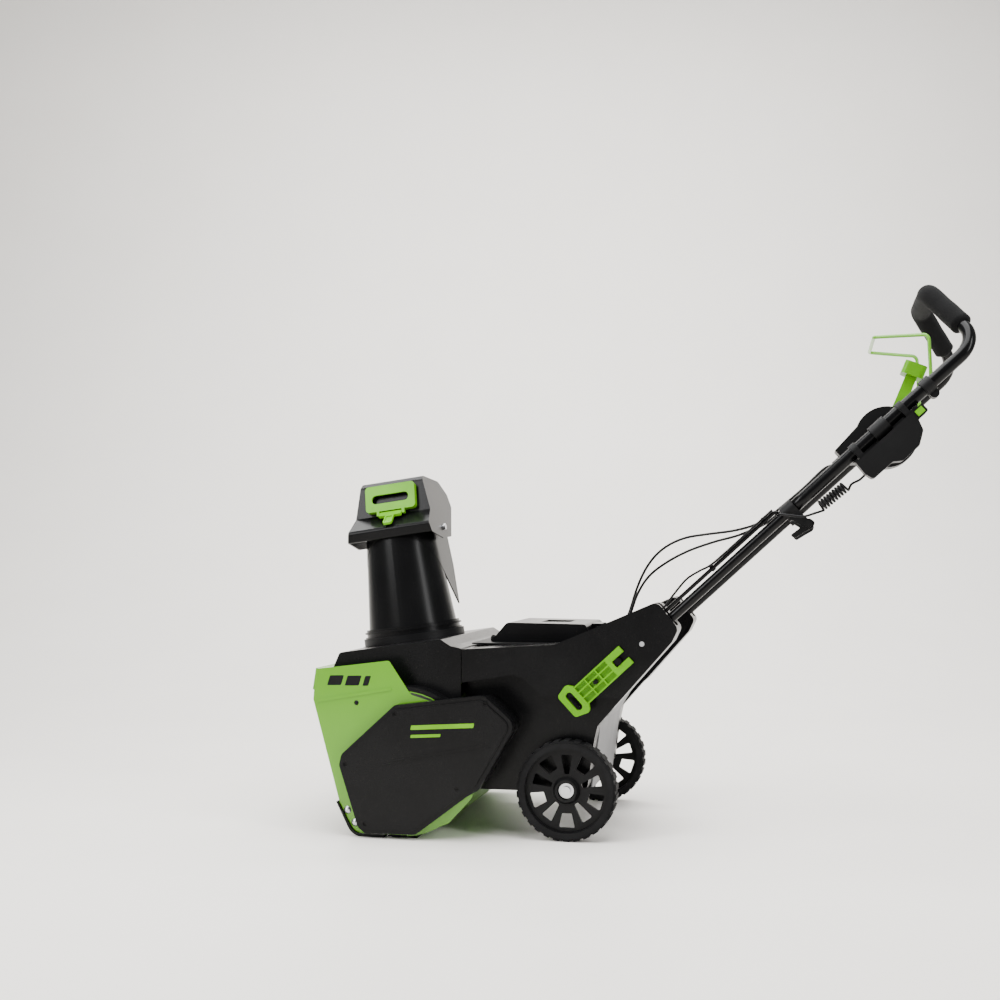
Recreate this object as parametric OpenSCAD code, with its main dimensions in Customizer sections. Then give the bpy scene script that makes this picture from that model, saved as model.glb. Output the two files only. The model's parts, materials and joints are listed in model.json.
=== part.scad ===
// Battery snow blower, single stage, with a turning chute and a telescopic handle.
// Axes: +Z up, the auger faces -Y, the operator stands at +Y and looks towards -Y.
// Most outlines are written about the point on the floor under the wheel axle, as [y, z] pairs;
// from_axle() moves them so that the origin is under the middle of the whole machine.

/* [Auger] */
// Clearing width, between the inner faces of the two side plates
clear_w = 559; // [460:1:680]
// Thickness of the steel sheet of the auger housing
sheet_t = 2; // [1.5:0.1:3]
// Radius swept by the rubber paddles
auger_r = 130; // [110:1:134]
// Gap between the paddles and the curved back sheet
scroll_gap = 15; // [8:1:18]
// Radius of the auger shaft
auger_shaft_r = 10; // [8:0.5:12]
// Thickness of one rubber paddle
paddle_t = 8; // [5:0.5:10]

/* [Drive] */
// Radius of the large pulley on the auger shaft
auger_pulley_r = 80; // [60:1:88]
// Radius of the small pulley on the motor shaft
motor_pulley_r = 20; // [14:1:26]
// Width of the drive belt
belt_w = 11; // [8:1:14]
// Thickness of the drive belt
belt_t = 4; // [3:0.5:5]
// Radius of the motor can
motor_r = 42; // [34:1:46]

/* [Wheels] */
// Wheel diameter over the tyre
wheel_d = 203; // [190:1:240]
// Width of the tyre
tyre_w = 42; // [34:1:50]
// Radial thickness of the tyre
tyre_t = 14; // [10:1:18]
// Radius of the wheel axle
axle_r = 6; // [5:0.5:8]
// Height of the tread blocks on the tyre
lug_h = 3; // [2:0.5:4]

/* [Body] */
// Wall of the moulded covers
wall = 3; // [2:0.5:4]
// Half width of the body shells where the handle ears are
ear_x = 236; // [232:1:246]
// Half width of the body beside the wheels
belly_x = 200; // [190:1:202]
// Half width of the front shroud
shroud_x = 238; // [230:1:262]
// How far the belt cover stands off the side plate
cover_depth = 25; // [22:1:34]
// Half width of the battery lid
lid_x = 108; // [90:1:125]
// Height of the battery lid
lid_h = 38; // [28:1:44]
// Width of the battery pack
battery_w = 168; // [130:1:176]
// Length of the battery pack
battery_l = 150; // [110:1:156]
// Height of the battery pack
battery_h = 118; // [90:1:130]

/* [Chute] */
// Inner radius of the chute where it turns on the housing
chute_bore_r = 86; // [70:1:92]
// Wall of the chute and the deflector
chute_wall = 3; // [2:0.5:4]
// How far the chute axis leans towards the front, in degrees
chute_lean = 8; // [0:1:12]
// Height of the chute above its turning ring
chute_h = 235; // [200:1:270]

/* [Handle] */
// Half distance between the two handle tubes
tube_x = 206; // [200:1:212]
// Outer radius of the lower tubes
lower_r = 10; // [8:0.5:11]
// Outer radius of the upper tube
upper_r = 12.7; // [11.5:0.1:14]
// Slope of the handle tubes above the floor, in degrees
handle_slope = 42.6; // [35:0.1:50]
// Length of the lower tubes outside the ears
lower_len = 304; // [260:1:340]
// Overlap of the lower tube inside the upper tube
overlap = 230; // [200:1:260]
// Length of the upper tube up to its bend corner
upper_len = 488; // [460:1:520]
// Half length of the crossbar of the grip
grip_x = 100; // [80:1:130]
// Outer radius of the foam grip
foam_r = 20.5; // [16:0.5:23]
// Radius of the bail wire
bail_r = 3.6; // [2.5:0.1:5]
// Radius of the chute control housing
drum_r = 60; // [52:1:76]
// Radius of the control cables
cable_r = 2.6; // [2:0.1:3]

/* [Hidden] */
$fn = 64;

// Clearances
run_gap = 0.05;          // radial, between a shaft and the bore it turns in
slip_gap = 0.3;          // between two pieces that must not touch
eps = 0.01;
battery = [battery_w, battery_l, battery_h];

// Places, about the floor point under the axle
axle_y = -131.5;         // row-frame y of the axle
axle_z = wheel_d / 2;
auger_c = [-330, 150];   // auger axis, [y, z]
scroll_r = auger_r + scroll_gap;
inner_x = clear_w / 2;   // inner face of a side plate
plate_x = inner_x + sheet_t;
face_x = plate_x + cover_depth;
motor_c = [-140, 240];   // motor axis, [y, z]
chute_c = [-390, 412];   // centre of the turning ring's top, [y, z]
deck_w = -30;            // the shroud's deck, along the chute axis
fold_c = [150, 396];     // fold axis of the handle, [y, z]
wheel_x = 229;           // middle of a wheel
hub_w = 44;

black = [0.10, 0.10, 0.11];
green = [0.55, 0.80, 0.20];
steel = [0.75, 0.76, 0.78];
rubber = [0.16, 0.16, 0.17];

// ---- helpers -------------------------------------------------------------------------------
function unit(v) = v / norm(v);
function arc(c, r, a0, a1, n) =
    [for (i = [0:n]) let (a = a0 + (a1 - a0) * i / n) [c[0] + r * cos(a), c[1] + r * sin(a)]];
// A corner of an outline as a fillet of radius r.
function fillet(a, p, b, r, n) =
    r <= 0 ? [p] :
    let (u = unit(a - p), w = unit(b - p), half = acos(u * w) / 2,
         c = p + unit(u + w) * r / sin(half),
         s = p + u * r / tan(half) - c, e = p + w * r / tan(half) - c,
         a0 = atan2(s[1], s[0]), d = (atan2(e[1], e[0]) - a0 + 540) % 360 - 180)
    arc(c, r, a0, a0 + d, n);
// An outline from [x, y, corner radius] triples.
function rounded(p, n = 5) =
    [for (i = [0:len(p) - 1])
        let (k = len(p), a = p[(i + k - 1) % k], q = p[i], b = p[(i + 1) % k])
        each fillet([a[0], a[1]], [q[0], q[1]], [b[0], b[1]], q[2], n)];
// Moves every side of a counter-clockwise outline inwards by t, corner radii included.
function inset(p, t) =
    [for (i = [0:len(p) - 1])
        let (k = len(p), a = p[(i + k - 1) % k], q = p[i], b = p[(i + 1) % k],
             d1 = unit([q[0] - a[0], q[1] - a[1]]), d2 = unit([b[0] - q[0], b[1] - q[1]]),
             n1 = [-d1[1], d1[0]], n2 = [-d2[1], d2[0]], s = (n1 + n2) * t / (1 + n1 * n2),
             left = d1[0] * d2[1] - d1[1] * d2[0] > 0)
        [q[0] + s[0], q[1] + s[1], q[2] <= 0 ? 0 : left ? max(q[2] - t, 0.5) : q[2] + t]];

module from_axle() translate([0, axle_y, 0]) children();
module both_sides() { children(); mirror([1, 0, 0]) children(); }
// Extrudes a [y, z] outline from x0 to x1.
module along_x(x0, x1)
    translate([x0, 0, 0]) rotate([90, 0, 90]) linear_extrude(x1 - x0) children();
// Extrudes an [x, z] outline from y0 to y1.
module along_y(y0, y1)
    translate([0, y1, 0]) rotate([90, 0, 0]) linear_extrude(y1 - y0) children();
// A rod along x at a [y, z] place.
module rod_x(c, r, x0, x1)
    translate([x0, c[0], c[1]]) rotate([0, 90, 0]) cylinder(r = r, h = x1 - x0);
// A rod between two points in space.
module rod(a, b, r) {
    d = b - a;
    translate(a) rotate([0, acos(d[2] / norm(d)), atan2(d[1], d[0])]) cylinder(r = r, h = norm(d));
}

// A tube swept along points: one closed polyhedron with `sides` corners a ring.
// `up` is any direction that the path never runs along: it keeps the rings from twisting.
function ring_axes(t, up) = let (u = unit(cross(up, t))) [u, cross(t, u)];
function tangent(p, i) = unit(p[min(i + 1, len(p) - 1)] - p[max(i - 1, 0)]);
module sweep(path, r, sides, up = [1, 0, 0]) {
    n = len(path);
    pts = [for (i = [0:n - 1]) let (f = ring_axes(tangent(path, i), up)) each
        [for (k = [0:sides - 1]) path[i] + r * (cos(360 * k / sides) * f[0] + sin(360 * k / sides) * f[1])]];
    quads = [for (i = [0:n - 2]) each [for (k = [0:sides - 1])
        let (j = (k + 1) % sides) [i * sides + k, i * sides + j, (i + 1) * sides + j, (i + 1) * sides + k]]];
    tris = [for (q = quads) each [[q[0], q[2], q[1]], [q[0], q[3], q[2]]]];
    first = [for (k = [1:sides - 2]) [0, k, k + 1]];
    last = [for (k = [1:sides - 2]) [(n - 1) * sides, (n - 1) * sides + k + 1, (n - 1) * sides + k]];
    polyhedron(pts, concat(tris, first, last));
}
// Catmull-Rom curve through hand-chosen points, m steps to each stretch.
function knot(p, i) = p[max(0, min(len(p) - 1, i))];
function curve(p, m) =
    concat([for (i = [0:len(p) - 2]) each [for (k = [0:m - 1])
        let (t = k / m, a = knot(p, i - 1), b = p[i], c = p[i + 1], d = knot(p, i + 2))
        0.5 * (2 * b + (c - a) * t + (2 * a - 5 * b + 4 * c - d) * t * t
               + (3 * b - a - 3 * c + d) * t * t * t)]], [p[len(p) - 1]]);

// ---- auger housing -------------------------------------------------------------------------
front_top = [-515, 338];
front_low = [-520, 276];
// The curved sheet's section at radius r: from the lip, round the back, and over the top.
function scroll_line(r) =
    concat(arc(auger_c, r, -86, 90, 22), [front_top + [0, r - scroll_r]]);
module scroll_section() {
    inner = scroll_line(scroll_r);
    outer = scroll_line(scroll_r + sheet_t);
    polygon(concat(inner, [for (i = [len(outer) - 1:-1:0]) outer[i]]));
}
module auger_housing() color(green) from_axle() difference() {
    union() {
        along_x(-inner_x, inner_x) scroll_section();
        // folded front flange
        along_x(-inner_x, inner_x) polygon([front_top + [1, -1], front_top + [1, sheet_t],
            front_top + [0, sheet_t], front_low + [-sheet_t, 20], front_low + [0, 20]]);
    }
    chute_frame() cylinder(r = chute_bore_r - 1, h = 300, center = true);
}

plate_line = [[-515, 338, 4], [-520, 276, 2], [-463, 67, 3], [-430, 6, 28], [-300, 6, 4],
    [-232, 34, 20], [-183, 88, 20], [-183, 180, 30], [-220, 262, 20], [-312, 290, 10], [-358, 358, 8]];
skid_bolts = [[-446, 52], [-430, 27]];
plate_screw = [-427, 271];
bearing_r = 22;
module side_plate() difference() {
    union() {
        along_x(inner_x, plate_x) polygon(rounded(plate_line));
        // raised crease under the top edge
        along_x(plate_x - eps, plate_x + 1.6)
            polygon(rounded([[-511, 270, 2], [-352, 298, 2], [-353, 304, 2], [-510, 277, 2]], 3));
    }
    rod_x(auger_c, bearing_r + slip_gap, 0, plate_x + 5);
    rod_x(plate_screw, 3, 0, plate_x + 5);
    for (b = skid_bolts) rod_x(b, 4, 0, plate_x + 5);
}
module left_side_plate() color(green) from_axle() side_plate();
module right_side_plate() color(green) from_axle() mirror([1, 0, 0]) side_plate();

module scraper_bar() color(black) from_axle() along_x(-inner_x + 1, inner_x - 1)
    polygon([[-362, 3], [-352, 0], [-300, 0], [-304, 2.6], [-325, 2.6], [-327, 5.5], [-356, 5.5]]);

// Skid shoe: a curved sole round the plate's lower front corner, with a bolted inner flange.
module skid_shoe() difference() {
    union() {
        along_x(inner_x - 16, plate_x + 6)
            polygon(rounded([[-470, 72, 0.8], [-434, 0, 33], [-366, 0, 2], [-366, 5.5, 0],
                [-430.6, 5.5, 28.5], [-463.8, 66.6, 0]]));
        along_x(inner_x - 4.3, inner_x - 0.3)
            polygon(rounded([[-465, 66, 0], [-440, 66, 6], [-418, 7, 4], [-434, 7, 4]], 4));
    }
    for (b = skid_bolts) rod_x(b, 4, 0, plate_x + 40);
}
module skid_shoes() color(black) from_axle() both_sides() skid_shoe();

// Domed bolt head standing on a face at x, with its shank reaching back by len.
module dome_bolt(c, r, x, shank_r, len) {
    rod_x(c, shank_r, x - len, x + eps);
    translate([x, c[0], c[1]]) rotate([0, 90, 0])
        rotate_extrude() intersection() {
            translate([0, -r * 0.75]) circle(r = r * 1.25);
            square([r, r]);
        }
}
module steel_bolts() color(steel) from_axle() both_sides() {
    for (b = skid_bolts) dome_bolt(b, 8, plate_x + 0.1, 3.8, 12);
    // wheel bolts with their washers, screwed into the ends of the axle
    rod_x([0, axle_z], 15, axle_end + 0.2, axle_end + 2.2);
    rod_x([0, axle_z], 9, axle_end + 2.2 - eps, axle_end + 8);
}

// ---- belt cover, left ----------------------------------------------------------------------
cover_line = [[-340, 270, 8], [-452, 168, 16], [-457, 146, 12], [-417, 22, 8], [-402, 10, 8],
    [-296, 12, 16], [-190, 92, 22], [-166, 106, 16], [-90, 238, 26], [-156, 294, 26]];
cover_rim = 9;           // width of the lower rim round the raised face
cover_screw_list = [[-338, 254], [-442, 149], [-400, 30], [-208, 108], [-152, 279]];
module belt_cover() color(black) from_axle() difference() {
    union() {
        along_x(plate_x + 2, face_x - 4) polygon(rounded(cover_line));
        along_x(face_x - 4 - eps, face_x) polygon(rounded(inset(cover_line, cover_rim)));
        // a pair of raised lines across the face
        for (z = [0, 9]) along_x(face_x - eps, face_x + 1.2)
            polygon(rounded([[-366 + 2.4 * z, 148 + z, 1], [-140, 189 + z, 1.4],
                [-141, 192 + z, 1.4], [-367 + 2.4 * z, 150 + z, 0.4]], 3));
    }
    difference() {
        along_x(plate_x + 1, face_x - 4 - wall) polygon(rounded(inset(cover_line, wall)));
        for (s = cover_screw_list) rod_x(s, 5, plate_x, face_x);
    }
    for (s = cover_screw_list) {
        rod_x(s, 2 + slip_gap, plate_x, face_x + 5);
        rod_x(s, 4.5, face_x - 4.6, face_x + 5);
    }
}
module cover_screws() color(black) from_axle() {
    for (s = cover_screw_list) {
        rod_x(s, 2, plate_x + 4, face_x - 4.5);
        difference() {
            rod_x(s, 4, face_x - 4.5 - eps, face_x - 2.5);
            rod_x(s, 1.6, face_x - 3.8, face_x);
        }
    }
    both_sides() dome_bolt(plate_screw, 5, plate_x + 0.1, 2.6, 8);
}
right_cover_line = [[-410, 70, 20], [-300, 40, 30], [-200, 110, 24], [-200, 220, 24], [-300, 256, 30],
    [-420, 200, 20]];
module right_side_cover() color(black) from_axle() mirror([1, 0, 0]) difference() {
    union() {
        along_x(plate_x + 0.5, plate_x + 12) polygon(rounded(right_cover_line));
        along_x(plate_x + 12 - eps, plate_x + 16) polygon(rounded(inset(right_cover_line, 8)));
    }
    along_x(plate_x, plate_x + 9) polygon(rounded(inset(right_cover_line, wall)));
}

// ---- body ----------------------------------------------------------------------------------
module chute_frame() translate([0, chute_c[0], chute_c[1]]) rotate([chute_lean, 0, 0]) children();
// Everything below the housing's top sheet, with a gap.
module under_scroll(g) along_x(-400, 400)
    polygon(concat(scroll_line(scroll_r + sheet_t + g), [[-700, 338], [-700, -50], [-322, -50]]));

// Height of the deck under the turret, which lies square to the chute axis.
function deck_at(y) = chute_c[1] + deck_w / cos(chute_lean) + (y - chute_c[0]) * tan(chute_lean);
shroud_line = [[-496, 330, 0], [-346, 290, 0], [-280, 280, 0], [-218.5, 240, 0], [-218.5, 382, 4],
    [-240, 386, 10], [-262, deck_at(-262), 6], [-479, deck_at(-479), 8]];
module fender_line() polygon(concat(arc(auger_c, scroll_r + sheet_t + 9, 50, 92, 12),
    [auger_c + [-5, scroll_r - 20], auger_c + [0.6, 0.7] * (scroll_r - 20)]));
module front_shroud() color(black) from_axle() difference() {
    union() {
        difference() {
            along_x(-shroud_x, shroud_x) polygon(rounded(shroud_line, 4));
            along_x(-shroud_x + wall, shroud_x - wall)
                polygon([[-483, 320], [-400, 200], [-215, 200], [-215, 372], [-265, deck_at(-265) - 9],
                    [-472, deck_at(-472) - 9]]);
        }
        chute_frame() translate([0, 0, deck_w - 50]) cylinder(r = 116, h = 50);
        // fenders over the housing's sheet, out to the side plates
        both_sides() along_x(shroud_x - 40, inner_x - 0.8) fender_line();
    }
    under_scroll(0.6);
    chute_frame() cylinder(r = chute_bore_r + 7, h = 300, center = true);
}

// Side shells: a wide upper part that runs back into the handle ear, and a narrow lower part.
wide_line = [[-217.5, 312, 0], [-111, 330, 8], [-92, 324, 8], [-50, 288, 6], [111, 288, 4],
    [209, 400, 12], [222, 427, 14], [180, 480, 16], [118, 453, 20], [-26, 392, 10], [-217.5, 380, 0]];
narrow_line = [[-192, 91, 4], [34, 91, 20], [49, 195, 10], [56, 227, 10], [111, 290, 0],
    [60, 340, 0], [-217.5, 340, 0], [-217.5, 262, 0], [-208, 246, 0], [-188, 205, 0], [-180, 165, 0],
    [-181, 130, 0]];
backing_line = [[-178, 110, 4], [-172, 108, 4], [-98, 236, 20], [-156, 288, 20], [-214, 280, 4],
    [-214, 268, 2], [-178, 190, 6]];
shell_in = 150;          // inner edge of a side shell
web_x = 188;             // inner wall of a handle ear
module side_shell() difference() {
    union() {
        difference() {
            union() {
                along_x(shell_in, ear_x) polygon(rounded(wide_line));
                along_x(shell_in, belly_x) polygon(rounded(narrow_line));
            }
            along_x(shell_in - 1, ear_x - wall) polygon(rounded(inset(wide_line, wall)));
            along_x(shell_in - 1, belly_x - wall) polygon(rounded(inset(narrow_line, wall)));
        }
        // inner wall of the ear, which carries the fold bolt
        along_x(web_x - 4, web_x) polygon(rounded([[70, 289, 0], [110, 289, 4], [208, 401, 10],
            [221, 427, 12], [180, 479, 12], [118, 452, 10], [70, 432, 0]]));
        rod_x(fold_c, 12, web_x - 8, web_x + eps);
    }
    rod_x(fold_c, fold_r + 0.02, 100, 300);
    rod_x([0, axle_z], axle_r + 0.02, 0, 300);
    ear_slot();
}
// The opening in the ear's rim that the tube leaves by and folds through.
module ear_slot() along_x(web_x + eps, tube_x + lower_r + 6) polygon(concat([fold_c],
    arc(fold_c, 150, handle_slope - 14, handle_slope + fold_max + 26, 14)));
fold_r = 5;
fold_max = 78;
module left_side_shell() color(black) from_axle() difference() {
    union() {
        side_shell();
        tool_pegs();
        difference() {
            along_x(belly_x - wall, plate_x + 1.4) polygon(rounded(backing_line));
            along_x(belly_x - wall - 1, plate_x - 1.6) polygon(rounded(inset(backing_line, wall)));
        }
    }
    rod_x(motor_c, 24, 140, 300);
}
module right_side_shell() color(black) from_axle() mirror([1, 0, 0]) side_shell();

bay_x = battery[0] / 2 + 4;
bay_y0 = -166;
bay_y1 = bay_y0 + battery[1] + 8;
deck_z = 388;
bay_floor = deck_z - battery[2] - 2;
module battery_bay() color(black) from_axle() difference() {
    union() {
        translate([-shell_in + 0.5, -217.5, deck_z - wall]) cube([2 * shell_in - 1, 290, wall]);
        translate([-bay_x - wall, bay_y0 - wall, bay_floor - wall])
            cube([2 * (bay_x + wall), bay_y1 - bay_y0 + 2 * wall, deck_z - bay_floor + wall + 6]);
        lid_posts();
    }
    translate([-bay_x, bay_y0, bay_floor]) cube([2 * bay_x, bay_y1 - bay_y0, 200]);
}
module battery_pack() color([0.2, 0.2, 0.22]) from_axle() {
    translate([-battery[0] / 2, bay_y0 + 4, bay_floor + 0.2]) difference() {
        cube(battery);
        // the two contact slots underneath
        for (x = [0.3, 0.7]) translate([battery[0] * x - 3, 50, -1]) cube([6, 40, 14]);
    }
    // carrying handle on top
    translate([-40, bay_y0 + 4 + battery[1] / 2 - 8, bay_floor + battery[2] + 0.2 - eps]) difference() {
        cube([80, 16, 16]);
        translate([8, -1, -1]) cube([64, 18, 11]);
    }
}
module belly_pan() color(black) from_axle()
    translate([-shell_in + 0.5, -190, 91]) cube([2 * shell_in - 1, 222, wall]);
module rear_panel() color(black) from_axle() along_x(-shell_in + 0.5, shell_in - 0.5)
    polygon([[74, 391], [98, 300], [52, 225], [34, 91], [37, 91], [55, 224], [101, 300], [78, 391]]);

module drive_motor() color(steel) from_axle() difference() {
    union() {
        rod_x(motor_c, motor_r, 112, 186);
        rod_x(motor_c, 20, 186 - eps, 192);
    }
    rod_x(motor_c, 7.5, 100, 200);
}
module controller() color([0.3, 0.3, 0.32]) from_axle() union() {
    translate([-90, -150, 110]) cube([150, 110, 34]);
    for (i = [0:8]) translate([-86 + 17 * i, -148, 144 - eps]) cube([3, 106, 12]);
}
module turret_base() color(black) from_axle() difference() {
    chute_frame() union() {
        translate([0, 0, -120]) cylinder(r = neck_r, h = 117);
        translate([0, 0, deck_w + slip_gap]) cylinder(r = 112, h = 15.4);
    }
    chute_frame() cylinder(r = chute_bore_r, h = 300, center = true);
    under_scroll(0.4);
}
neck_r = chute_bore_r + wall;

// ---- wheels --------------------------------------------------------------------------------
hub_end = wheel_x + hub_w / 2;
hub_recess = 10;         // depth of the recess that holds the wheel bolt
axle_end = hub_end - hub_recess + 0.3;
module wheel_axle() color(steel) from_axle()
    rod_x([0, axle_z], axle_r, -axle_end, axle_end);
rim_r = wheel_d / 2 - tyre_t;
web_off = 6;             // how far the rim's web is from the wheel's middle, outwards
// A window in the web: a slot with straight sides that point at the hub.
module window(a, r0, r1, w0, w1) rotate(a) polygon(rounded([[r0, -w0 / 2, 2], [r1, -w1 / 2, 3],
    [r1, w1 / 2, 3], [r0, w0 / 2, 2]], 3));
module wheel_rim() translate([wheel_x, 0, axle_z]) rotate([0, 90, 0]) difference() {
    union() {
        // barrel
        difference() {
            cylinder(r = rim_r, h = tyre_w - 6, center = true);
            cylinder(r = rim_r - 4, h = tyre_w, center = true);
        }
        translate([0, 0, web_off - 3]) cylinder(r = rim_r - 1, h = 6);
        cylinder(r = 18, h = hub_w, center = true);
        translate([0, 0, web_off - 2]) cylinder(r1 = 30, r2 = 22, h = hub_w / 2 - web_off + 2);
    }
    cylinder(r = axle_r + run_gap, h = 100, center = true);
    translate([0, 0, web_off - 20]) linear_extrude(40) for (k = [0:4]) {
        window(72 * k + 180, 32, 71, 9, 24);
        window(72 * k + 144, 46, 75, 20, 33);
    }
    translate([0, 0, hub_w / 2 - hub_recess]) cylinder(r = 17, h = 20);
}
lugs = 30;
module tyre() translate([wheel_x, 0, axle_z]) rotate([0, 90, 0]) {
    difference() {
        union() {
            cylinder(r = wheel_d / 2 - lug_h, h = tyre_w - 4, center = true);
            cylinder(r = wheel_d / 2 - lug_h - 3, h = tyre_w, center = true);
            for (k = [0:lugs - 1]) rotate(360 * k / lugs)
                translate([wheel_d / 2 - lug_h - 2, -6, -tyre_w / 2 + 3]) cube([lug_h + 1.6, 12, tyre_w - 6]);
        }
        cylinder(r = rim_r + 0.05, h = tyre_w - 5.9, center = true);
        cylinder(r = rim_r - 3, h = 2 * tyre_w, center = true);
    }
}
module left_wheel() color(black) from_axle() wheel_rim();
module right_wheel() color(black) from_axle() mirror([1, 0, 0]) wheel_rim();
module left_tyre() color(rubber) from_axle() tyre();
module right_tyre() color(rubber) from_axle() mirror([1, 0, 0]) tyre();

// ---- auger and drive -----------------------------------------------------------------------
module auger_bearings() color(steel) from_axle() both_sides() difference() {
    rod_x(auger_c, bearing_r, inner_x - 9, plate_x + 1.5);
    rod_x(auger_c, auger_shaft_r + run_gap, 0, 400);
}
belt_x = plate_x + 5;    // inner edge of the belt
module auger_shaft() color(steel) from_axle()
    rod_x(auger_c, auger_shaft_r, -plate_x - 7, belt_x + belt_w + 1.5);
module auger_core() color([0.25, 0.25, 0.26]) from_axle() difference() {
    union() {
        rod_x(auger_c, auger_shaft_r + 6, -inner_x + 17, inner_x - 17);
        for (x = [-inner_x + 17, inner_x - 20]) rod_x(auger_c, 62, x, x + 3);
    }
    rod_x(auger_c, auger_shaft_r + 0.02, -400, 400);
}
// One rubber paddle: a straight middle that throws, and two twisted wings that sweep inwards.
paddle_mid = 60;
paddle_root = auger_shaft_r + 6.4;
module paddle_blade() translate([paddle_root, -paddle_t / 2]) square([auger_r - paddle_root, paddle_t]);
module paddle() {
    translate([-paddle_mid, 0, 0]) rotate([0, 90, 0]) linear_extrude(2 * paddle_mid) paddle_blade();
    both_sides() translate([paddle_mid - eps, 0, 0]) rotate([0, 90, 0])
        linear_extrude(inner_x - 21 - paddle_mid, twist = 75, slices = 8) paddle_blade();
}
module auger_paddles() color(rubber) from_axle() translate([0, auger_c[0], auger_c[1]])
    for (a = [20, 200]) rotate([a, 0, 0]) paddle();
module auger_pulley() color(steel) from_axle() difference() {
    rod_x(auger_c, auger_pulley_r, belt_x - 1.5, belt_x + belt_w + 1.5);
    rod_x(auger_c, auger_shaft_r + 0.02, 0, 400);
    for (k = [0:4]) rod_x(auger_c + 0.58 * auger_pulley_r * [cos(72 * k), sin(72 * k)], 15, 0, 400);
}
module motor_pulley() color(steel) from_axle() {
    rod_x(motor_c, 7, 104, belt_x + belt_w + 1.5);
    rod_x(motor_c, motor_pulley_r, belt_x - 1, belt_x + belt_w + 1);
    for (x = [belt_x - 1.5, belt_x + belt_w + 0.5]) rod_x(motor_c, motor_pulley_r + 4, x, x + 1);
}
// The belt's outline: two circles and the straight runs that touch both, grown by g.
module belt_outline(g) {
    r1 = auger_pulley_r + g;
    r2 = motor_pulley_r + g;
    d = motor_c - auger_c;
    a = acos((r1 - r2) / norm(d));
    f = atan2(d[1], d[0]);
    polygon(concat(arc(auger_c, r1, f + a, f + 360 - a, 60), arc(motor_c, r2, f - a, f + a, 16)));
}
module drive_belt() color([0.12, 0.12, 0.12]) from_axle() difference() {
    along_x(belt_x, belt_x + belt_w) belt_outline(slip_gap + belt_t);
    along_x(belt_x - 1, belt_x + belt_w + 1) belt_outline(slip_gap);
}

// ---- chute: in its own frame, u = x, v to the rear, w along the chute axis --------------------
cone_r0 = 98;
cone_r1 = 74;
module chute_cone(t, h) cylinder(r1 = cone_r0 - t, r2 = cone_r1 - t, h = h);
mouth_slope = 1.149;     // the slanted seam between tube and elbow rises by this for each unit of u
seam_w = 120;            // height of the seam on the axis
module below_seam(g) along_y(-200, 200) polygon([[-200, seam_w - 200 * mouth_slope + g],
    [200, seam_w + 200 * mouth_slope + g], [200, -300], [-200, -300]]);
module chute_ring() color(black) from_axle() chute_frame() difference() {
    union() {
        translate([0, 0, deck_w + 16]) cylinder(r = 104, h = -deck_w - 16);
        translate([0, 0, deck_w + 16]) cylinder(r = 108, h = 3);
        translate([0, 0, -4]) cylinder(r = 108, h = 4);
    }
    translate([0, 0, -60]) cylinder(r = neck_r + run_gap, h = 57.3);
    translate([0, 0, -60]) cylinder(r = chute_bore_r, h = 80);
}
module chute_tube() color(black) from_axle() chute_frame() difference() {
    intersection() {
        union() {
            chute_cone(0, chute_h);
            cylinder(r = 104, h = 5);
        }
        below_seam(0);
    }
    translate([0, 0, -0.01]) chute_cone(chute_wall, chute_h + 0.02);
}
elbow_line = [[-98, 128], [-70, 30], [80, 0], [76, 214], [66, 228], [40, 236], [-40, 240], [-105, 226]];
module chute_elbow_body(t) union() {
    chute_cone(t, chute_h + 8);
    intersection() {
        rotate([90, 0, 90]) translate([0, 0, -300]) linear_extrude(300)
            polygon([[-cone_r0 + t, 0], [cone_r0 - t, 0], [cone_r1 - t, chute_h + 8], [-cone_r1 + t, chute_h + 8]]);
        translate([-300, -200, 0]) cube([300, 400, 400]);
    }
}
module chute_elbow() color(black) from_axle() chute_frame() difference() {
    intersection() {
        chute_elbow_body(0);
        along_y(-120, 120) polygon(elbow_line);
    }
    intersection() {
        chute_elbow_body(chute_wall);
        along_y(-120, 120) polygon([[-300, 0], [77, 0], [73, 212], [63, 225], [39, 233], [-40, 237], [-300, 226]]);
    }
    below_seam(0.5);
    for (s = [-1, 1]) translate(hood_hinge) rotate([90, 0, 0]) cylinder(r = 4.02, h = 300, center = true);
}
hood_hinge = [-20, 0, 212];
pin_r = 4;
module deflector_pins() color(steel) from_axle() chute_frame() translate(hood_hinge)
    for (s = [0, 180]) rotate([90, 0, s]) {
        translate([0, 0, 70]) cylinder(r = pin_r, h = 29);
        translate([0, 0, 78.6]) cylinder(r = 8, h = 11);
        translate([0, 0, 66]) cylinder(r = 7, h = 7);
        translate([0, 0, 97]) cylinder(r = 7, h = 3);
    }
hood_line = [[-62, 190, 12], [10, 186, 12], [86, 200, 3], [89, 222, 8], [40, 252, 3], [22, 320, 8], [8, 330, 10], [-108, 322, 24],
    [-150, 292, 10], [-152, 262, 6]];
module hood_width(t) rotate([90, 0, 90]) translate([0, 0, -300]) linear_extrude(600)
    polygon([[-101 + t, 180], [101 - t, 180], [70 - t, 334], [-70 + t, 334]]);
module deflector() color(black) from_axle() chute_frame() difference() {
    intersection() {
        along_y(-120, 120) polygon(rounded(hood_line));
        hood_width(0);
    }
    intersection() {
        along_y(-120, 120) polygon([[83, 100], [82.5, 205], [85, 220], [36.8, 249.5], [18.6, 318.5], [6, 327], [-107, 319],
            [-300, 300], [-300, 100]]);
        hood_width(chute_wall);
    }
    translate(hood_hinge) rotate([90, 0, 0]) cylinder(r = pin_r + run_gap, h = 300, center = true);
}
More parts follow.
